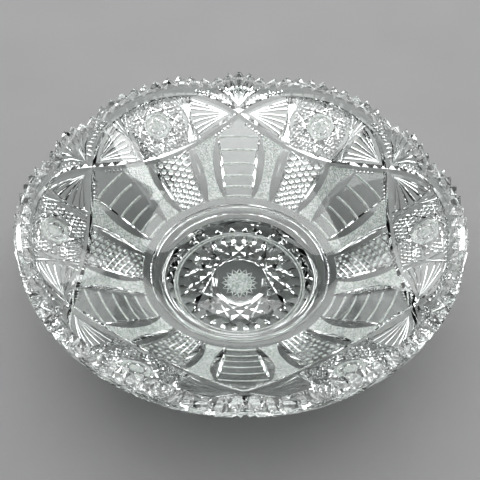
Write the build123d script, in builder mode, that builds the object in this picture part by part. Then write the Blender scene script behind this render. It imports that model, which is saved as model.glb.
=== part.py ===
from build123d import *

from math import asin, cos, pi, radians, sin, sqrt
import os

# Shallow cut-crystal punch bowl standing on a short solid foot.
#
# Millimetres, +Z up, origin at the centre of the foot's resting face.  The cut pattern
# repeats every 60 degrees.  A "fan" azimuth is the middle of a ladder panel and a "star"
# azimuth lies half way between two fans; the first fan is on +Y.

# ---- driving dimensions --------------------------------------------------------
SECTORS = 6  # repeats of the cut pattern round the bowl
SECTOR = 360 / SECTORS  # degrees from one fan to the next
FIRST_FAN = 90  # azimuth of the first fan, degrees

# bowl shell
WALL = 7.0  # wall thickness down to the foot, square to the surface
RIM_WALL = 10.5  # wall thickness from the turn of the rim upwards
FLOOR_Z = 32.6  # height of the inside floor above the table
FLOOR_RADIUS = 45.0  # flat part of the inside floor
SWEEP_RADIUS = 74.5  # inside radius of the curve from floor to flank
FLANK_ANGLE = 38.7  # slope of the straight flank, degrees from level
FLANK_LENGTH = 60.0
OUTER_ANGLE = 35.46  # slope of the outside of the flank, less than inside, so the wall thickens
OUTER_LENGTH = 63.75
CURL_RADIUS = 6.4  # inside radius of the turn from flank to rim
RIM_ANGLE = 86.0  # slope of the nearly upright rim, degrees from level
RIM_LENGTH = 13.0  # uncut height of the rim, taller than every tooth
SEAT_Z = 28.0  # level of the joint between bowl and foot

# scalloped and toothed rim
DIP_Z = 93.0  # tooth tips at the bottom of a dip
DIP_ANGLE = 10.0  # degrees from a fan to the middle of the dip
FAN_LOBE = 6.0  # rise of the small lobe over a fan
STAR_LOBE = 7.5  # rise of the wide, flat-topped lobe over a star
TOOTH_DEPTH = 5.2  # from tip to notch
FAN_PITCH = 3.4  # degrees between the teeth of a fan lobe and of the dips
FAN_STEPS = 4  # tips from the fan to the dip, the fan's own included
STAR_PITCH = 3.93  # degrees between the teeth of a star lobe
STAR_STEPS = 5  # tips from the dip to the star, the star's own included
RIM_MID_RADIUS = 146.0  # middle of the wall at the rim
NOTCH_START = 125.0  # the notch cutters run outwards from this radius
NOTCH_LENGTH = 45.0
NOTCH_OVERRUN = 5.0  # cutter height as a multiple of the tooth's own height

# ladder panels: level V cuts on the outside of the flank
RUNG_RADII = (75.2, 83.0, 91.0, 99.2, 108.4, 117.6)
RUNG_HALF_ANGLE = 8.4  # half the width of a ladder panel, degrees
RUNG_DEPTH = 1.9
RUNG_HALF_WIDTH = 1.7

# foot
FOOT_TOP_RADIUS = 64.5
FOOT_NECK_RADIUS = 55.5  # where the hollow cove meets the tapered side
FOOT_NECK_Z = 21.0
FOOT_COVE_RADIUS = 20.0
FOOT_BASE_RADIUS = 50.0
FOOT_BEVEL = 1.2
STAR_CUTS = 8  # cuts of the star in the underside
STAR_CHORD = 20.6  # distance from the axis to each cut
STAR_RADIUS = 46.0  # the cuts end on this circle
STAR_CUT_DEPTH = 2.2
STAR_CUT_HALF_WIDTH = 2.4


# ---- rim teeth -----------------------------------------------------------------
def tip_angles():
    """Tooth tips from one fan to the next, degrees from the first of the two."""
    fan_side = [FAN_PITCH * step for step in range(FAN_STEPS)]
    star_side = [SECTOR / 2 - STAR_PITCH * step for step in reversed(range(STAR_STEPS))]
    rising = fan_side + star_side
    falling = [SECTOR - angle for angle in reversed(rising[:-1])]
    return rising + falling


def tip_height(angle):
    """Height of the scalloped rim, angle degrees past a fan."""
    from_fan = min(angle, SECTOR - angle)
    if from_fan < DIP_ANGLE:
        return DIP_Z + FAN_LOBE * cos(pi / 2 * from_fan / DIP_ANGLE) ** 2
    from_star = (SECTOR / 2 - from_fan) / (SECTOR / 2 - DIP_ANGLE)
    return DIP_Z + STAR_LOBE * (1 - from_star**4)


def facing_out(azimuth, radius, height):
    """Upright plane that faces away from the axis, X along the rim and Y up."""
    turn = radians(azimuth)
    return Plane(
        origin=(radius * cos(turn), radius * sin(turn), height),
        x_dir=(-sin(turn), cos(turn), 0),
        z_dir=(cos(turn), sin(turn), 0),
    )


tips = tip_angles()
with BuildPart() as notches:
    for before, after in zip(tips[:-1], tips[1:]):
        notch_z = (tip_height(before) + tip_height(after)) / 2 - TOOTH_DEPTH
        reach = NOTCH_OVERRUN * RIM_MID_RADIUS * radians(after - before) / 2
        rise_before = NOTCH_OVERRUN * (tip_height(before) - notch_z)
        rise_after = NOTCH_OVERRUN * (tip_height(after) - notch_z)
        with BuildSketch(facing_out(FIRST_FAN + (before + after) / 2, NOTCH_START, notch_z)):
            with BuildLine():
                Polyline((0, 0), (reach, rise_after), (-reach, rise_before), close=True)
            make_face()
        extrude(amount=NOTCH_LENGTH)


# ---- ladder rungs --------------------------------------------------------------
def outside_at(radius):
    """Height and slope (radians) of the outside of the sweep or flank at a radius."""
    outer = SWEEP_RADIUS + WALL
    slope = min(asin((radius - FLOOR_RADIUS) / outer), radians(OUTER_ANGLE))
    arc_end = FLOOR_RADIUS + outer * sin(slope)
    height = FLOOR_Z + SWEEP_RADIUS - outer * cos(slope) + (radius - arc_end) * sin(slope) / cos(slope)
    return height, slope


with BuildPart() as rungs:
    for radius in RUNG_RADII:
        height, slope = outside_at(radius)
        section = Plane(origin=(0, radius, height), x_dir=(0, cos(slope), sin(slope)), z_dir=(1, 0, 0))
        with BuildSketch(section):
            with BuildLine():
                Polyline(
                    (0, RUNG_DEPTH),
                    (2 * RUNG_HALF_WIDTH, -RUNG_DEPTH),
                    (-2 * RUNG_HALF_WIDTH, -RUNG_DEPTH),
                    close=True,
                )
            make_face()
        extrude(amount=radius * sin(radians(RUNG_HALF_ANGLE)), both=True)


# ---- bowl ----------------------------------------------------------------------
with BuildPart() as bowl:
    with BuildSketch(Plane.XZ):
        with BuildLine():
            floor_in = Line((0, FLOOR_Z), (FLOOR_RADIUS, FLOOR_Z))
            sweep_in = JernArc(floor_in @ 1, (1, 0), SWEEP_RADIUS, FLANK_ANGLE)
            flank_in = PolarLine(sweep_in @ 1, FLANK_LENGTH, FLANK_ANGLE)
            curl_in = JernArc(flank_in @ 1, flank_in % 1, CURL_RADIUS, RIM_ANGLE - FLANK_ANGLE)
            rim_in = PolarLine(curl_in @ 1, RIM_LENGTH, RIM_ANGLE)
            floor_out = Line((0, FLOOR_Z - WALL), (FLOOR_RADIUS, FLOOR_Z - WALL))
            sweep_out = JernArc(floor_out @ 1, (1, 0), SWEEP_RADIUS + WALL, OUTER_ANGLE)
            flank_out = PolarLine(sweep_out @ 1, OUTER_LENGTH, OUTER_ANGLE)
            curl_out = JernArc(flank_out @ 1, flank_out % 1, CURL_RADIUS + RIM_WALL, RIM_ANGLE - OUTER_ANGLE)
            rim_out = PolarLine(curl_out @ 1, RIM_LENGTH, RIM_ANGLE)
            Line(rim_in @ 1, rim_out @ 1)
            Line(floor_in @ 0, floor_out @ 0)
        make_face()
    revolve(axis=Axis.Z)
    split(bisect_by=Plane.XY.offset(SEAT_Z), keep=Keep.TOP)
    with PolarLocations(0, SECTORS):
        add(rungs.part, mode=Mode.SUBTRACT)
        add(notches.part, mode=Mode.SUBTRACT)

# ---- foot ----------------------------------------------------------------------
with BuildPart() as star_cut:
    with BuildSketch(Plane.YZ):
        with BuildLine():
            Polyline(
                (STAR_CHORD, STAR_CUT_DEPTH),
                (STAR_CHORD + 2 * STAR_CUT_HALF_WIDTH, -STAR_CUT_DEPTH),
                (STAR_CHORD - 2 * STAR_CUT_HALF_WIDTH, -STAR_CUT_DEPTH),
                close=True,
            )
        make_face()
    extrude(amount=sqrt(STAR_RADIUS**2 - STAR_CHORD**2), both=True)

with BuildPart() as foot:
    with BuildSketch(Plane.XZ):
        with BuildLine():
            seat = Line((0, SEAT_Z), (FOOT_TOP_RADIUS, SEAT_Z))
            cove = RadiusArc(seat @ 1, (FOOT_NECK_RADIUS, FOOT_NECK_Z), -FOOT_COVE_RADIUS)
            Polyline(
                cove @ 1,
                (FOOT_BASE_RADIUS, FOOT_BEVEL),
                (FOOT_BASE_RADIUS - FOOT_BEVEL, 0),
                (0, 0),
                seat @ 0,
            )
        make_face()
    revolve(axis=Axis.Z)
    with PolarLocations(0, STAR_CUTS):
        add(star_cut.part, mode=Mode.SUBTRACT)

os.makedirs("parts", exist_ok=True)
bowl.part.label = "bowl"
export_step(bowl.part, "parts/bowl.step")
foot.part.label = "foot"
export_step(foot.part, "parts/foot.step")
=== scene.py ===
from math import asin, cos, pi, radians, sin, sqrt

import bmesh
import bpy
from mathutils import Matrix, Vector


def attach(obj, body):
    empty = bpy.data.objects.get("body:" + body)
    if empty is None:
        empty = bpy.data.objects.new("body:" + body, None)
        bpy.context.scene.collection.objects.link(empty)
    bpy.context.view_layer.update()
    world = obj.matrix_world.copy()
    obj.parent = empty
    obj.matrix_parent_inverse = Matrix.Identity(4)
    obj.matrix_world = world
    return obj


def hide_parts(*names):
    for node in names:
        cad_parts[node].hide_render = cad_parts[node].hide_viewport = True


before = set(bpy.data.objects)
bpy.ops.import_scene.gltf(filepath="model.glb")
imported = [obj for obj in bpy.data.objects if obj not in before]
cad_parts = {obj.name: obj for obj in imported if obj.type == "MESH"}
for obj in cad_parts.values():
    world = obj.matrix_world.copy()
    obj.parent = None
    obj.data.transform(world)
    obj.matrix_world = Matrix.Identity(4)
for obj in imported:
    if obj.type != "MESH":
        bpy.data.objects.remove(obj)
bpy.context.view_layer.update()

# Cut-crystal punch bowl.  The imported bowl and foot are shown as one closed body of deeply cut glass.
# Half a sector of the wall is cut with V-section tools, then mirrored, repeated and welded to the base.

MM = 0.001  # the glass is worked out in millimetres and scaled when it is finished

# ---- shell: a flat floor, a sweep up to the straight flank, and a curl into the rim ----
FLOOR_Z = 32.6
FLOOR_RADIUS = 45.0
INNER_SWEEP = 74.5
OUTER_SWEEP = 81.5
INNER_ANGLE, INNER_FLANK, INNER_CURL = radians(38.7), 60.0, 6.4
OUTER_ANGLE, OUTER_FLANK, OUTER_CURL = radians(35.46), 63.75, 16.9
RIM = radians(86.0)  # slope of the wall above the curl
JOIN = 69.0  # arc length on the outside at which the cut wall meets the plain base
SWEEP_ROWS, FLANK_ROWS, CURL_ROWS = 11, 15, 12

# rounded top of the rim
OUTER_LIP = ((0.0, 0.5), (0.6, 0.1), (1.6, 0.0), (4.0, 0.1))  # in from the outside, below the top
INNER_LIP = ((3.2, 0.7), (1.4, 1.8), (0.4, 3.0), (0.0, 4.4))  # out from the inside, below the top

# ---- foot, radii and (radius, height) -------------------------------------------
UNDERSIDE_ROW = 46.8  # a row of points round the flat underside
FOOT_BASE_RADIUS = 50.0
FOOT_BEVEL = 1.2
FOOT_EASE = 0.35  # rounds the bevel's middle outwards
FOOT_FLARE = (52.6, 10.6)
FOOT_NECK = (55.5, 21.0)
FOOT_TOP = (64.5, 27.97)
FOOT_COVE_RADIUS = 20.0
RING_LEDGE = 1.0  # a narrow step round the top of the foot
RING_DROP = 0.4
RING_CUT = 0.9  # depth of the two fine rings turned into the foot and the wall
RING_HALF_WIDTH = 0.8
RING_S = JOIN - 1.7  # arc length of the ring in the wall
BASE_ROW_SPACING = 2.4

# ---- the repeat: half a sector runs from a fan at 0 to a star at 30 degrees ------
SECTORS = 6
HALF = 30
STEPS_PER_DEGREE = 1

# slots of the finished mesh, and one more for the faces that are taken away before welding
POLISHED, FROSTED, SATIN, SPARE = 0, 1, 2, 3

# scalloped and toothed rim; angles and pitches in degrees
DIP_Z = 93.0
DIP_ANGLE = 10.0
FAN_LOBE = 6.0
STAR_LOBE = 7.5
FAN_PITCH = 3.4
FAN_TEETH = 3
STAR_PITCH = 3.93
STAR_TEETH = 5
NOTCH_SHARE = 0.8  # of the pitch; the rest is left as the top of the tooth
NOTCH_OUTSIDE = (155.0, 5.5)  # radius and depth of the wedge's outer end
NOTCH_INSIDE = (138.0, 2.8)  # and of its inner end, where it is shallower
NOTCH_OVERSHOOT = 11.44  # how far the wedge carries on above the rim

# panels, (angle, arc length)
PANEL_FOOT = 74.0  # where every panel starts
LENS_A, LENS_B = 8.8, 20.1  # valleys of the two long mitres
HOBNAIL_SIDE, HOBNAIL_TOP = 22.0, 118.0
LOWER_ARC, LOWER_BEND = 120.7, 0.02715  # arc length under the star, and its rise per degree squared
UPPER_ARC, UPPER_BEND = 171.2, 0.0290
STAR_S = 146.0
STAR_MM_PER_DEGREE = 2.3

# assembly
WELD = 0.002  # points nearer than this are one, in millimetres
CREASE = radians(13)  # edges sharper than this are drawn sharp

# crystal
CRYSTAL_IOR = 1.545
TINT_STOPS = (0.4, 0.58)  # where on the noise the tint turns from its first colour to its second
RELIEF = 0.0004  # height of the surface ripple, in metres


def lerp(a, b, t):
    return a + (b - a) * t


# ---- places on the glass -------------------------------------------------------
def shell_at(s, sweep, angle, flank, curl):
    """Radius, height and slope of a turned surface, s along it from the axis."""
    slope = min(max(s - FLOOR_RADIUS, 0.0) / sweep, angle)
    radius = min(s, FLOOR_RADIUS) + sweep * sin(slope)
    height = FLOOR_Z + INNER_SWEEP - sweep * cos(slope)
    run = min(max(s - FLOOR_RADIUS - sweep * angle, 0.0), flank)
    radius += run * cos(angle)
    height += run * sin(angle)
    turned = s - FLOOR_RADIUS - sweep * angle - flank
    if turned <= 0:
        return radius, height, slope
    slope = min(angle + turned / curl, RIM)
    radius += curl * (sin(slope) - sin(angle))
    height += curl * (cos(angle) - cos(slope))
    rise = max(turned - curl * (RIM - angle), 0.0)
    return radius + rise * cos(RIM), height + rise * sin(RIM), slope


def outside(s):
    return shell_at(s, OUTER_SWEEP, OUTER_ANGLE, OUTER_FLANK, OUTER_CURL)


def inside(s):
    return shell_at(s, INNER_SWEEP, INNER_ANGLE, INNER_FLANK, INNER_CURL)


def on_glass(angle, s):
    """Point of the outside, angle degrees from the fan, and the normal there."""
    radius, height, slope = outside(s)
    turn = radians(angle)
    point = Vector((radius * sin(turn), radius * cos(turn), height))
    normal = Vector((sin(slope) * sin(turn), sin(slope) * cos(turn), -cos(slope)))
    return point, normal


def near_star(x, y):
    """(angle, s) of a place x across and y up from the middle of the star, in millimetres."""
    return HALF - x / STAR_MM_PER_DEGREE, STAR_S + y


def on_star(x, y):
    """Point and normal of a place given from the middle of the star."""
    return on_glass(*near_star(x, y))


def under_foot(x, y):
    """Point and normal on the underside of the foot."""
    return Vector((x, y, 0.0)), Vector((0.0, 0.0, -1.0))


def lower_arc(angle):
    """Arc length of the star panel's lower edge, which runs on as the upper one past the fan."""
    if angle < 0:
        return upper_arc(-angle)
    return LOWER_ARC + LOWER_BEND * (HALF - angle) ** 2


def upper_arc(angle):
    if angle < 0:
        return lower_arc(-angle)
    return UPPER_ARC - UPPER_BEND * (HALF - angle) ** 2


# ---- how a cut's depth and width change from its start, t = 0, to its end, t = 1 ----
def even(t):
    return 1.0


def boat(t):
    """A cut that swells in its middle, as a wheel leaves it."""
    return max(1.0 - abs(2 * t - 1) ** 2.4, 0.02)


def hull(t):
    """As a boat, but still deep at its ends."""
    return 0.35 + 0.65 * boat(t)


def full(t):
    """Even, with quickly rising ends."""
    return min(1.0, 0.3 + 5 * min(t, 1 - t))


def grow(t):
    """A cut that starts as a hair line and ends wide."""
    return 0.05 + 0.95 * t


def leaf(t):
    """A cut that grows from a point and rounds off beyond its widest place."""
    widest = 0.68
    if t < widest:
        return 0.05 + 0.95 * sin(pi / 2 * t / widest)
    return max(cos(pi / 2 * (t - widest) / (1 - widest)), 0.03) ** 0.6


# ---- paths ---------------------------------------------------------------------
def angles(start, end, per_degree):
    """Degrees from start up to just before the end."""
    return [i / per_degree for i in range(round(start * per_degree), round(end * per_degree))]


def straight(start, end, steps):
    return [
        (start[0] + (end[0] - start[0]) * i / steps, start[1] + (end[1] - start[1]) * i / steps)
        for i in range(steps + 1)
    ]


def runs(points, panel, least=2):
    """The stretches of a path on a panel that have more points than the least."""
    found, run = [], []
    for point in points + [None]:
        if point is not None and panel(*point):
            run.append(point)
        else:
            if len(run) > least:
                found.append(run)
            run = []
    return found


# ---- solids and cutting --------------------------------------------------------
def groove(path, left, right, depth, shape=even, left_shape=None, lift=0.6, locate=on_glass):
    """V-section cutter along a path; left and right are its half widths at the surface."""
    places = [locate(*p) for p in path]
    verts, faces = [], []
    last = len(places) - 1
    for i, (point, normal) in enumerate(places):
        along = (places[min(i + 1, last)][0] - places[max(i - 1, 0)][0]).normalized()
        across = along.cross(normal).normalized()
        t = i / last
        deep = depth * shape(t)
        opened = (deep + lift) / deep
        verts.append(point - normal * deep)
        verts.append(point + normal * lift + across * left * (left_shape or shape)(t) * opened)
        verts.append(point + normal * lift - across * right * shape(t) * opened)
    for i in range(last):
        a, b = 3 * i, 3 * i + 3
        for p, q in ((0, 1), (1, 2), (2, 0)):
            faces.append((a + p, a + q, b + q, b + p))
    faces.append((0, 2, 1))
    faces.append((3 * last, 3 * last + 1, 3 * last + 2))
    return verts, faces


def mitre(path, half_width, depth, shape=even, lift=0.6, locate=on_glass):
    """A groove with both sides alike."""
    return groove(path, half_width, half_width, depth, shape, lift=lift, locate=locate)


def fine_mitres(lines, panel, half_width, depth, lift, locate=on_glass, least=2):
    """Equal mitres along the stretches of the lines that are on a panel."""
    return [
        mitre(run, half_width, depth, lift=lift, locate=locate)
        for line in lines
        for run in runs(line, panel, least)
    ]


def facing_out(verts, faces):
    """The faces of a closed solid, turned outwards."""
    volume = 0.0
    for face in faces:
        for i in range(1, len(face) - 1):
            volume += verts[face[0]].dot(verts[face[i]].cross(verts[face[i + 1]]))
    return faces if volume > 0 else [tuple(reversed(face)) for face in faces]


def joined(solids):
    """Vertices and faces of several closed solids, every one facing outwards."""
    verts, faces = [], []
    for solid_verts, solid_faces in solids:
        base = len(verts)
        verts += solid_verts
        for face in facing_out(solid_verts, solid_faces):
            faces.append(tuple(base + i for i in face))
    return verts, faces


def mesh_object(name, verts, faces, slots):
    mesh = bpy.data.meshes.new(name)
    mesh.from_pydata([tuple(v) for v in verts], [], faces)
    for _ in (POLISHED, FROSTED, SATIN, SPARE):
        mesh.materials.append(None)
    mesh.polygons.foreach_set("material_index", slots)
    mesh.update()
    made = bpy.data.objects.new(name, mesh)
    bpy.context.scene.collection.objects.link(made)
    return made


def cut(target, solids, slot=POLISHED):
    """Takes solids that don't overlap one another out of the target, in one go."""
    verts, faces = joined(solids)
    tool = mesh_object("tool", verts, faces, [slot] * len(faces))
    boolean = target.modifiers.new("cut", "BOOLEAN")
    boolean.operation = "DIFFERENCE"
    boolean.solver = "MANIFOLD"
    boolean.object = tool
    shown = target.evaluated_get(bpy.context.evaluated_depsgraph_get())
    result = bpy.data.meshes.new_from_object(shown)
    target.modifiers.clear()
    target.data = result
    bpy.data.meshes.remove(tool.data)


# ---- blanks --------------------------------------------------------------------
def tip_height(angle):
    """Height of the rim before the teeth are cut."""
    if angle < DIP_ANGLE:
        return DIP_Z + FAN_LOBE * cos(pi / 2 * angle / DIP_ANGLE) ** 2
    return DIP_Z + STAR_LOBE * (1 - ((HALF - angle) / (HALF - DIP_ANGLE)) ** 4)


def spaced(start, end, step):
    """Values from start, about a step apart, that stop one short of the end."""
    count = max(1, round((end - start) / step))
    return [start + (end - start) * i / count for i in range(count)]


def rows(start, sweep, angle, flank, curl):
    """Arc lengths of the mesh rows from the join to the end of the curl."""
    sweep_end = FLOOR_RADIUS + sweep * angle
    flank_end = sweep_end + flank
    curl_end = flank_end + curl * (RIM - angle)
    found = [lerp(start, sweep_end, i / SWEEP_ROWS) for i in range(SWEEP_ROWS)]
    found += [lerp(sweep_end, flank_end, i / FLANK_ROWS) for i in range(FLANK_ROWS)]
    found += [lerp(flank_end, curl_end, i / CURL_ROWS) for i in range(CURL_ROWS)]
    return found + [curl_end]


INNER_JOIN = FLOOR_RADIUS + (JOIN - FLOOR_RADIUS) * INNER_SWEEP / OUTER_SWEEP
OUTER_ROWS = rows(JOIN, OUTER_SWEEP, OUTER_ANGLE, OUTER_FLANK, OUTER_CURL)
INNER_ROWS = rows(INNER_JOIN, INNER_SWEEP, INNER_ANGLE, INNER_FLANK, INNER_CURL)


def wall_section(angle):
    """Closed section of the wall, (radius, height): up the outside, over the rim, down the inside."""
    tip = tip_height(angle)
    outer_radius, outer_height, _ = outside(OUTER_ROWS[-1])
    inner_radius, inner_height, _ = inside(INNER_ROWS[-1])
    lean = cos(RIM) / sin(RIM)
    section = [outside(s)[:2] for s in OUTER_ROWS]
    for part in (0.4, 0.75):
        height = lerp(outer_height, tip, part)
        section.append((outer_radius + (height - outer_height) * lean, height))
    outer_top = outer_radius + (tip - outer_height) * lean
    inner_top = inner_radius + (tip - inner_height) * lean
    section += [(outer_top - inwards, tip - below) for inwards, below in OUTER_LIP]
    section += [(inner_top + outwards, tip - below) for outwards, below in INNER_LIP]
    halfway = lerp(inner_height, tip - INNER_LIP[-1][1], 0.5)
    section.append((inner_radius + (tip - inner_height) * 0.4 * lean, halfway))
    return section + [inside(s)[:2] for s in reversed(INNER_ROWS)]


def blank_slot(angle, row):
    """The tops of the hobnails are frosted, everything else starts polished."""
    on_panel = row < len(OUTER_ROWS) and PANEL_FOOT - 1 < OUTER_ROWS[row] < HOBNAIL_TOP
    return FROSTED if on_panel and angle >= HOBNAIL_SIDE else POLISHED


def wall_blank():
    """Half a sector of the wall, uncut, closed by spare faces at its bottom and both sides."""
    verts, faces, slots = [], [], []
    columns = HALF * STEPS_PER_DEGREE
    for column in range(columns + 1):
        angle = column / STEPS_PER_DEGREE
        section = wall_section(angle)
        turn = radians(angle)
        verts += [Vector((r * sin(turn), r * cos(turn), z)) for r, z in section]
    count = len(section)
    for column in range(columns):
        angle = column / STEPS_PER_DEGREE
        for i in range(count):
            a, b = column * count + i, column * count + (i + 1) % count
            faces.append((a, b, b + count, a + count))
            slots.append(SPARE if i == count - 1 else blank_slot(angle, i))
    paired = len(OUTER_ROWS)
    for first in (0, columns * count):
        ring = list(range(first, first + count))
        side = [(ring[i], ring[i + 1], ring[-2 - i], ring[-1 - i]) for i in range(paired - 1)]
        side.append(tuple(ring[paired - 1 : count - paired + 1]))
        for face in side:
            faces.append(tuple(reversed(face)) if first == 0 else face)
            slots.append(SPARE)
    return mesh_object("wall", verts, facing_out(verts, faces), slots)


def cove():
    """Concave side of the foot, from its neck up to the bowl, with a fine ring cut at half way."""
    (r0, z0), (r1, z1) = FOOT_NECK, FOOT_TOP
    chord = Vector((r1 - r0, z1 - z0))
    aside = Vector((chord.y, -chord.x)).normalized()
    centre = Vector((r0 + r1, z0 + z1)) / 2 + aside * sqrt(FOOT_COVE_RADIUS**2 - chord.length**2 / 4)
    points = []
    for part in (0.17, 0.33, 0.44, 0.5, 0.56, 0.67, 0.83):
        step = Vector((r0, z0)).lerp(Vector((r1, z1)), part) - centre
        sunk = RING_CUT if part == 0.5 else 0.0
        points.append(tuple(centre + step.normalized() * (FOOT_COVE_RADIUS + sunk)))
    return points


def base_outside():
    """(radius, height) from the underside of the foot, up its side and along the wall to the join."""
    ledge = (FOOT_TOP[0] + RING_LEDGE, FOOT_TOP[1] - RING_DROP)
    wall_s = FLOOR_RADIUS + OUTER_SWEEP * asin((ledge[0] - FLOOR_RADIUS) / OUTER_SWEEP)
    radius, height, slope = outside(RING_S)
    ring = (radius - RING_CUT * sin(slope), height + RING_CUT * cos(slope))
    section = [(UNDERSIDE_ROW, 0.0), (FOOT_BASE_RADIUS - FOOT_BEVEL, 0.0)]
    section += [(FOOT_BASE_RADIUS - FOOT_EASE, FOOT_EASE), (FOOT_BASE_RADIUS, FOOT_BEVEL)]
    section += [FOOT_FLARE, FOOT_NECK] + cove() + [FOOT_TOP, ledge, outside(wall_s)[:2]]
    section += [outside(RING_S - RING_HALF_WIDTH)[:2], ring, outside(RING_S + RING_HALF_WIDTH)[:2]]
    return section + [outside(JOIN)[:2]]


def base_inside():
    """(radius, height) from the join down the inside and in over the floor."""
    arc_lengths = spaced(FLOOR_RADIUS, INNER_JOIN, BASE_ROW_SPACING) + [INNER_JOIN]
    section = [inside(s)[:2] for s in reversed(arc_lengths)]
    return section + [(FLOOR_RADIUS * part / 3, FLOOR_Z) for part in (2, 1)]


def base_blank():
    """Foot, floor and the plain lower part of the wall, turned in one, with spare faces at the join."""
    join_row = len(base_outside()) - 1
    section = base_outside() + base_inside()
    verts = [Vector((0, 0, 0)), Vector((0, 0, FLOOR_Z))]
    faces, slots = [], []
    around = 2 * SECTORS * HALF * STEPS_PER_DEGREE
    count = len(section)
    for k in range(around):
        turn = 2 * pi * k / around
        verts += [Vector((r * sin(turn), r * cos(turn), z)) for r, z in section]
        a, b = 2 + k * count, 2 + (k + 1) % around * count
        for i in range(count - 1):
            faces.append((a + i, a + i + 1, b + i + 1, b + i))
            slots.append(SPARE if i == join_row else POLISHED)
        faces += [(0, a, b), (1, b + count - 1, a + count - 1)]
        slots += [POLISHED, POLISHED]
    return mesh_object("base", verts, facing_out(verts, faces), slots)


# ---- cut pattern of the wall ---------------------------------------------------
def cut_crosshatch(wall):
    """Fine frosted diamonds between the two long mitres."""
    spacing, slant, middle = 2.1875, 1.35, 14  # mm along the wall, mm per degree, degrees
    half_width, depth, lift = 0.66, 0.5, 0.05
    margin, length = 0.3, 50  # degrees at each side, mm along the wall

    def on_strip(angle, s):
        waist = boat(min(max((s - PANEL_FOOT) / length, 0), 1))
        low, high = LENS_A + margin + 3.3 * waist, LENS_B - margin - 2.5 * waist
        return PANEL_FOOT + 0.4 < s < lower_arc(angle) + 0.5 and low < angle < high

    for way in (slant, -slant):
        lines = []
        for k in range(-20, 60):
            start = PANEL_FOOT + k * spacing
            lines.append([(a, start + way * (a - middle)) for a in angles(8, 20.5, 4)])
        cut(wall, fine_mitres(lines, on_strip, half_width, depth, lift), FROSTED)


def cut_hobnail(wall):
    """Six-sided buttons left standing between grooves in three directions."""
    column, row = 2.8, 5.4  # degrees round the wall, millimetres along it
    bottom, top = PANEL_FOOT + 0.3, 121.2
    side, beyond = 22.2, 34  # the field runs on past this half sector
    half_width, depth, lift = 1.0, 0.9, 0.2

    def on_field(angle, s):
        return side < angle < beyond and bottom < s < lower_arc(min(angle, HALF)) + 0.8

    uprights = []
    for k in range(3):
        angle = HALF - column * (k + 0.5)
        path = straight((angle, bottom), (angle, top), 12)
        uprights.append(mitre(path, half_width, depth, lift=lift))
    cut(wall, uprights)
    for way in (1, -1):
        lines = []
        for k in range(-4, 18):
            start = PANEL_FOOT + (k + 0.25) * row
            lines.append([(a, start + way * row / 2 * (HALF - a) / column) for a in angles(21.5, 34.5, 4)])
        cut(wall, fine_mitres(lines, on_field, half_width, depth, lift))


def cut_rungs(wall):
    """Level cuts that make the ladder under each fan."""
    half_width, depth = 1.05, 0.9
    end_angle = 7.9
    levels = (75.7, 84.4, 93.8, 104.1, 115.4, 126.6)
    paths = [straight((-2, s), (end_angle, s), 10) for s in levels]
    cut(wall, [mitre(path, half_width, depth) for path in paths], FROSTED)


def cut_lenses(wall):
    """Two long mitres up the wall, each with one straight and one bowed edge."""
    depth, steps = 2.3, 22
    up = straight((LENS_A, PANEL_FOOT), (LENS_A, 130.0), steps)
    down = list(reversed(straight((LENS_B, PANEL_FOOT), (LENS_B, 123.0), steps)))
    cut(wall, [groove(up, left=2.3, right=6.4, depth=depth, shape=boat, left_shape=hull)])
    cut(wall, [groove(down, left=4.6, right=5.1, depth=depth, shape=boat, left_shape=hull)])


def cut_star_grid(wall):
    """Small sparkling points that fill the ground of the star."""
    pitch, half_width, depth, lift = 3.3, 0.95, 0.6, 0.3
    inner, outer = 10.4, 22.5  # from round the button to the hourglass

    def on_ground(x, y):
        angle, s = near_star(x, y)
        low = lower_arc(min(angle, HALF)) - 0.5
        high = upper_arc(min(angle, HALF)) + 0.5
        return x * x + y * y > inner**2 and x < outer and low < s < high

    for heading in (0, 60, 120):
        turn = radians(heading)
        ux, uy = cos(turn), sin(turn)
        family = []
        for k in range(-9, 10):
            away = (k + 0.5) * pitch
            line = [(-uy * away + ux * t, ux * away + uy * t) for t in range(-34, 35)]
            for run in runs(line, on_ground):
                if any(x > -2 for x, _ in run):  # the rest lies beyond this half sector
                    family.append(mitre(run, half_width, depth, lift=lift, locate=on_star))
        cut(wall, family)


def cut_star(wall):
    """Eight long chords round the button."""
    away, reach = 11.0, 21.0
    half_width, depth = 1.7, 2.3
    for k in range(8):
        turn = 2 * pi * k / 8
        nx, ny = cos(turn), sin(turn)
        ends = [near_star(nx * away - side * ny * reach, ny * away + side * nx * reach) for side in (-1, 1)]
        cut(wall, [mitre(straight(*ends, 16), half_width, depth, boat)])


def cut_button_hatch(wall):
    """Frosted crosshatch in the middle of the star."""
    radius, pitch, half_width, depth, lift = 4.9, 1.25, 0.5, 0.45, 0.05
    diagonal = sqrt(2)

    def on_centre(x, y):
        return x * x + y * y < radius**2

    for way in (1, -1):
        lines = []
        for k in range(-6, 7):
            away = k * pitch
            halves = [t / 2 for t in range(-14, 15)]
            lines.append([((t - way * away) / diagonal, (way * t + away) / diagonal) for t in halves])
        family = fine_mitres(lines, on_centre, half_width, depth, lift, locate=on_star, least=1)
        cut(wall, family, FROSTED)


def cut_button_ring(wall, radius, outer, inner, slot):
    """A ring round the middle of the star, with its outer and inner half widths."""
    depth = 1.1
    ring = [(radius * cos(radians(a)), radius * sin(radians(a))) for a in range(-104, 105, 8)]
    cut(wall, [groove(ring, outer, inner, depth, locate=on_star)], slot)


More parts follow.
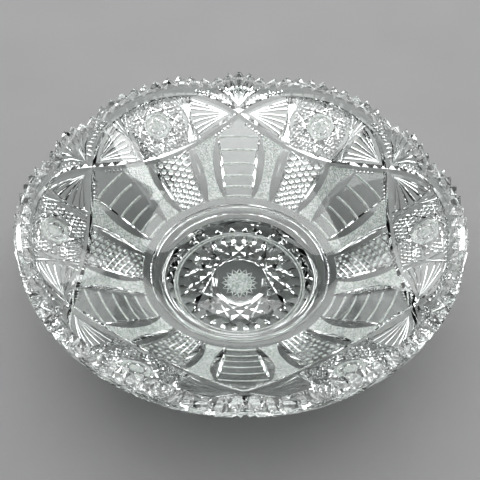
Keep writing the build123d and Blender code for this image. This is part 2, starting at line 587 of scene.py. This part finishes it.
def cut_button(wall):
    """Hatched centre, a polished ring with eight notches across it and a frosted ring outside."""
    cut_button_hatch(wall)
    cut_button_ring(wall, radius=9.3, outer=1.0, inner=1.7, slot=FROSTED)
    cut_button_ring(wall, radius=6.5, outer=0.9, inner=0.9, slot=POLISHED)
    half_width, depth = 1.3, 1.9
    for k in range(8):
        turn = 2 * pi * (k + 0.5) / 8
        ends = [near_star(r * cos(turn), r * sin(turn)) for r in (4.2, 7.8)]
        cut(wall, [mitre(straight(*ends, 6), half_width, depth, boat)])


def cut_end_fan(wall):
    """Seven rays that fill the pointed end of the star panel."""
    start, end_angle = (3.9, 145.3), 16.8
    half_width, depth = 1.25, 1.0
    for s in (160.4, 157.2, 152.9, 146.7, 141.3, 135.4, 130.4):
        cut(wall, [mitre(straight(start, (end_angle, s), 14), half_width, depth, grow)])


def cut_hourglass(wall):
    """Four long mitres that cross in a waist, between the end fan and the star."""
    half_width, depth = 1.15, 1.15
    sheaf = [((21.3, 166.5), (15.8, 127.0)), ((19.4, 166.0), (17.7, 126.0))]
    sheaf += [((17.4, 165.5), (18.9, 125.5)), ((15.7, 165.0), (20.7, 125.0))]
    for top, bottom in sheaf:
        cut(wall, [mitre(straight(top, bottom, 12), half_width, depth)])


def cut_beads(wall):
    """A row of blocks above the upper arc, and a shorter one below the lower arc."""
    for k in range(10):
        angle = 2.4 + 1.32 * k
        s = upper_arc(angle) + 4.3
        block = straight((angle + 0.7, s - 2.4), (angle - 0.8, s + 2.4), 6)
        cut(wall, [mitre(block, half_width=1.45, depth=1.5, shape=boat)])
    for k in range(6):
        angle = 3.0 + 1.3 * k
        s = lower_arc(angle) - 4.4
        block = straight((angle + 0.5, s + 1.9), (angle - 0.5, s - 1.4), 5)
        cut(wall, [mitre(block, half_width=1.2, depth=1.1, shape=boat)])


def cut_rim_fan(wall):
    """Seven leaves that spread from the crossing up over the curl of the rim."""
    start, length, mm_per_degree = 151.3, 24.5, 2.42
    for heading, half_width, depth in ((0, 2.5, 3.0), (14, 2.4, 2.7), (27.5, 2.1, 2.2), (42, 1.8, 1.7)):
        for turned in (heading, -heading) if heading else (heading,):
            turn = radians(turned)
            end = (length * sin(turn) / mm_per_degree, start + length * cos(turn))
            cut(wall, [mitre(straight((0, start), end, 16), half_width, depth, leaf)])


def cut_arcs(wall):
    """Two broad mitres that cross below the rim fan."""
    half_width, depth = 3.2, 1.95
    for arc in (lower_arc, upper_arc):
        path = [(a, arc(min(a, 2 * HALF - a))) for a in angles(-4, 34.5, 2)]
        cut(wall, [mitre(path, half_width, depth)])


def tooth_tips():
    """Angles of the rim points across half a sector."""
    tips = [FAN_PITCH * k for k in range(FAN_TEETH + 1)]
    return tips + [HALF - STAR_PITCH * (STAR_TEETH - k) for k in range(1, STAR_TEETH + 1)]


def notch(start, end):
    """Wedge between two rim points."""
    middle, half = (start + end) / 2, (end - start) / 2 * NOTCH_SHARE
    level = tip_height(middle)
    top = level + NOTCH_OVERSHOOT
    verts = []
    for radius, depth in (NOTCH_OUTSIDE, NOTCH_INSIDE):
        spread = half * (1 + NOTCH_OVERSHOOT / depth)
        for angle, height in ((middle, level - depth), (middle - spread, top), (middle + spread, top)):
            turn = radians(angle)
            verts.append(Vector((radius * sin(turn), radius * cos(turn), height)))
    faces = [(0, 1, 4, 3), (1, 2, 5, 4), (2, 0, 3, 5), (0, 2, 1), (3, 4, 5)]
    return verts, faces


def cut_teeth(wall):
    tips = tooth_tips()
    for start, end in zip(tips, tips[1:]):
        cut(wall, [notch(start, end)], SATIN)


# ---- cut pattern under the foot ------------------------------------------------
def foot_chord(turn, away, reach):
    """Straight path across the underside, that far from the axis and reaching both ways."""
    nx, ny = cos(turn), sin(turn)
    start = (nx * away - ny * -reach, ny * away + nx * -reach)
    end = (nx * away - ny * reach, ny * away + nx * reach)
    return straight(start, end, 16)


def foot_pair(turn, away, reach, half_width, depth, shape):
    """The same chord on opposite sides of the axis."""
    paths = [foot_chord(turn + side, away, reach) for side in (0, pi)]
    return [mitre(path, half_width, depth, shape, locate=under_foot) for path in paths]


def cut_foot_hatch(base):
    """Frosted crosshatch in the middle of the underside."""
    radius, pitch, half_width, depth, lift = 9.6, 1.25, 0.5, 0.5, 0.05
    for way in (1, -1):
        family = []
        for k in range(-7, 8):
            away = k * pitch
            path = foot_chord(way * pi / 4, away, sqrt(radius**2 - away**2))
            family.append(mitre(path, half_width, depth, lift=lift, locate=under_foot))
        cut(base, family, FROSTED)


def cut_foot_star(base):
    """Sixteen long chords round the hub, and sixteen short frosted ones inside it."""
    chords = 16
    for k in range(chords // 2):
        turn = 2 * pi * k / chords
        cut(base, foot_pair(turn, away=21.2, reach=37.0, half_width=4.2, depth=3.0, shape=full))
        cut(base, foot_pair(turn, away=5.4, reach=12.9, half_width=1.0, depth=1.1, shape=boat), FROSTED)


def cut_foot_rays(base):
    """Short cuts between the star and the edge of the foot."""
    count, inner, outer = 32, 39.3, 47.2
    half_width, depth = 1.9, 2.2
    rays = []
    for k in range(count):
        turn = 2 * pi * (k + 0.5) / count
        ends = [(r * cos(turn), r * sin(turn)) for r in (inner, outer)]
        rays.append(mitre(straight(*ends, 6), half_width, depth, hull, locate=under_foot))
    cut(base, rays)


def cut_foot_ring(base):
    """A fine frosted ring at the edge, as two halves that overlap a little."""
    radius, half_width, depth, lift = 48.0, 0.7, 0.7, 0.2
    for side in (0, pi):
        turns = [side + pi * i / 90 for i in range(-1, 92)]
        path = [(radius * cos(turn), radius * sin(turn)) for turn in turns]
        cut(base, [mitre(path, half_width, depth, lift=lift, locate=under_foot)], FROSTED)


# ---- assembly ------------------------------------------------------------------
def open_faces(made):
    """The object's mesh with its spare faces taken away."""
    bm = bmesh.new()
    bm.from_mesh(made.data)
    spare = [face for face in bm.faces if face.material_index == SPARE]
    bmesh.ops.delete(bm, geom=spare, context="FACES")
    return bm


def both_halves(wall):
    """Meshes of half a sector and of its mirror image, without their spare faces."""
    half = open_faces(wall)
    plain = bpy.data.meshes.new("half_sector")
    half.to_mesh(plain)
    bmesh.ops.scale(half, vec=(-1, 1, 1), verts=half.verts)
    bmesh.ops.reverse_faces(half, faces=half.faces)
    mirrored = bpy.data.meshes.new("mirrored_half_sector")
    half.to_mesh(mirrored)
    return plain, mirrored


def assemble(wall, base):
    """Twelve half sectors and the base, welded into one closed mesh, in metres."""
    whole = open_faces(base)
    halves = both_halves(wall)
    for k in range(SECTORS):
        turn = Matrix.Rotation(2 * pi * k / SECTORS, 4, "Z")
        for mesh in halves:
            placed = mesh.copy()
            placed.transform(turn)
            whole.from_mesh(placed)
            bpy.data.meshes.remove(placed)
    seam = [vert for vert in whole.verts if vert.is_boundary]
    bmesh.ops.remove_doubles(whole, verts=seam, dist=WELD)
    for face in whole.faces:
        face.smooth = True
    for edge in whole.edges:
        edge.smooth = edge.is_manifold and edge.calc_face_angle(0.0) < CREASE
    open_edges = sum(not edge.is_manifold for edge in whole.edges)
    print("glass: faces", len(whole.faces), "open or doubled edges", open_edges)
    print("glass: volume cm3", whole.calc_volume() / 1000)
    bmesh.ops.scale(whole, vec=(MM, MM, MM), verts=whole.verts)
    mesh = bpy.data.meshes.new("crystal")
    whole.to_mesh(mesh)
    made = bpy.data.objects.new("crystal", mesh)
    bpy.context.scene.collection.objects.link(made)
    for old in (wall, base):
        bpy.data.objects.remove(old)
    return made


# ---- materials -----------------------------------------------------------------
def glass(name, tints, roughness, spread, bump, grain, clear):
    """Lead crystal, with a faint ripple and slightly uneven gloss and tint."""
    material = bpy.data.materials.new(name)
    material.use_nodes = True
    nodes, links = material.node_tree.nodes, material.node_tree.links
    shader = nodes["Principled BSDF"]
    shader.inputs["Transmission Weight"].default_value = clear
    shader.inputs["IOR"].default_value = CRYSTAL_IOR
    place = nodes.new("ShaderNodeTexCoord")
    noise = nodes.new("ShaderNodeTexNoise")
    noise.inputs["Scale"].default_value = grain
    noise.inputs["Detail"].default_value = 3.0
    links.new(place.outputs["Object"], noise.inputs["Vector"])
    tint = nodes.new("ShaderNodeValToRGB")
    for stop, position, colour in zip(tint.color_ramp.elements, TINT_STOPS, tints):
        stop.position = position
        stop.color = colour
    links.new(noise.outputs["Fac"], tint.inputs["Fac"])
    links.new(tint.outputs["Color"], shader.inputs["Base Color"])
    gloss = nodes.new("ShaderNodeMapRange")
    gloss.inputs["To Min"].default_value = roughness - spread
    gloss.inputs["To Max"].default_value = roughness + spread
    links.new(noise.outputs["Fac"], gloss.inputs["Value"])
    links.new(gloss.outputs["Result"], shader.inputs["Roughness"])
    relief = nodes.new("ShaderNodeBump")
    relief.inputs["Strength"].default_value = bump
    relief.inputs["Distance"].default_value = RELIEF
    links.new(noise.outputs["Fac"], relief.inputs["Height"])
    links.new(relief.outputs["Normal"], shader.inputs["Normal"])
    return material


def polished():
    tints = (0.84, 0.88, 0.86, 1), (0.88, 0.91, 0.9, 1)
    return glass("polished_crystal", tints, 0.012, spread=0.01, bump=0.02, grain=90, clear=1.0)


def frosted():
    """Ground and left unpolished, so it is nearly white and lets little through."""
    tints = (0.58, 0.63, 0.6, 1), (1.0, 1.0, 1.0, 1)
    return glass("frosted_crystal", tints, 0.35, spread=0.1, bump=0.8, grain=600, clear=0.08)


def satin():
    """Half polished, between the teeth."""
    tints = (0.9, 0.93, 0.915, 1), (0.97, 0.98, 0.975, 1)
    return glass("satin_crystal", tints, 0.045, spread=0.03, bump=0.1, grain=500, clear=0.86)


def floor_material():
    material = bpy.data.materials.new("pale_floor")
    material.use_nodes = True
    nodes, links = material.node_tree.nodes, material.node_tree.links
    shader = nodes["Principled BSDF"]
    shader.inputs["Roughness"].default_value = 0.85
    noise = nodes.new("ShaderNodeTexNoise")
    noise.inputs["Scale"].default_value = 60
    noise.inputs["Detail"].default_value = 4
    shade = nodes.new("ShaderNodeValToRGB")
    for stop, grey in zip(shade.color_ramp.elements, (0.205, 0.225)):
        stop.color = (grey, grey, grey, 1)
    links.new(noise.outputs["Fac"], shade.inputs["Fac"])
    links.new(shade.outputs["Color"], shader.inputs["Base Color"])
    return material


# ---- studio, metres ------------------------------------------------------------
def add_floor():
    mesh = bpy.data.meshes.new("floor")
    size, gap = 3.0, 0.0003  # the gap keeps the foot's underside off the floor
    corners = [(-size, -size, -gap), (size, -size, -gap), (size, size, -gap), (-size, size, -gap)]
    mesh.from_pydata(corners, [], [(0, 1, 2, 3)])
    mesh.materials.append(floor_material())
    made = bpy.data.objects.new("floor", mesh)
    bpy.context.scene.collection.objects.link(made)


def add_world():
    """Dim, even light from all round."""
    world = bpy.data.worlds.new("studio")
    world.use_nodes = True
    background = world.node_tree.nodes["Background"]
    background.inputs["Color"].default_value = (1, 1, 1, 1)
    background.inputs["Strength"].default_value = 0.15
    bpy.context.scene.world = world


def add_softbox(name, place, aim, size, watts):
    lamp = bpy.data.lights.new(name, "AREA")
    lamp.shape = "RECTANGLE"
    lamp.size, lamp.size_y = size
    lamp.energy = watts
    made = bpy.data.objects.new(name, lamp)
    made.location = place
    made.rotation_euler = (Vector(aim) - Vector(place)).to_track_quat("-Z", "Y").to_euler()
    bpy.context.scene.collection.objects.link(made)


def add_lights():
    bowl, far_left = (0, 0, 0.05), (-0.07, 0.07, 0.055)
    add_softbox("overhead", (0.0, 0.0, 1.55), bowl, size=(2.2, 2.2), watts=41)
    add_softbox("rear", (0.0, 1.5, 0.75), bowl, size=(2.6, 0.9), watts=13)
    add_softbox("key", (0.745, 0.02, 0.935), far_left, size=(0.15, 0.15), watts=0.35)


def add_camera():
    """The photograph's viewing angle."""
    elevation, azimuth, roll = radians(49.1), radians(-2.09), radians(1.77)
    distance, aim = 0.5315, Vector((-0.0006, 0.0, 0.06455))
    forward = Vector((0, cos(elevation), -sin(elevation)))
    right = Vector((1, 0, 0))
    up = right.cross(forward)
    right, up = cos(roll) * right + sin(roll) * up, cos(roll) * up - sin(roll) * right
    pose = Matrix((right, up, -forward)).transposed().to_4x4()
    pose.translation = aim - forward * distance
    data = bpy.data.cameras.new("camera")
    data.lens = 55.75
    data.sensor_width = 36.0
    made = bpy.data.objects.new("camera", data)
    made.matrix_world = Matrix.Rotation(azimuth, 4, "Z") @ pose
    bpy.context.scene.collection.objects.link(made)
    bpy.context.scene.camera = made


def set_tone():
    """Strong contrast, and enough bounces for light to get through both walls of the glass."""
    scene = bpy.context.scene
    scene.view_settings.view_transform = "Standard"
    scene.view_settings.look = "High Contrast"
    scene.cycles.max_bounces = 20
    scene.cycles.transmission_bounces = 20


# ---- the bowl ------------------------------------------------------------------
wall = wall_blank()
cut_crosshatch(wall)
cut_hobnail(wall)
cut_star_grid(wall)
cut_rungs(wall)
cut_lenses(wall)
cut_button(wall)
cut_star(wall)
cut_end_fan(wall)
cut_hourglass(wall)
cut_beads(wall)
cut_rim_fan(wall)
cut_arcs(wall)
cut_teeth(wall)

base = base_blank()
cut_foot_hatch(base)
cut_foot_star(base)
cut_foot_rays(base)
cut_foot_ring(base)

crystal = assemble(wall, base)
for finish in (polished, frosted, satin):  # in the order of the slots
    crystal.data.materials.append(finish())
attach(crystal, "root")
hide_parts("bowl", "foot")

add_floor()
add_world()
add_lights()
add_camera()
set_tone()
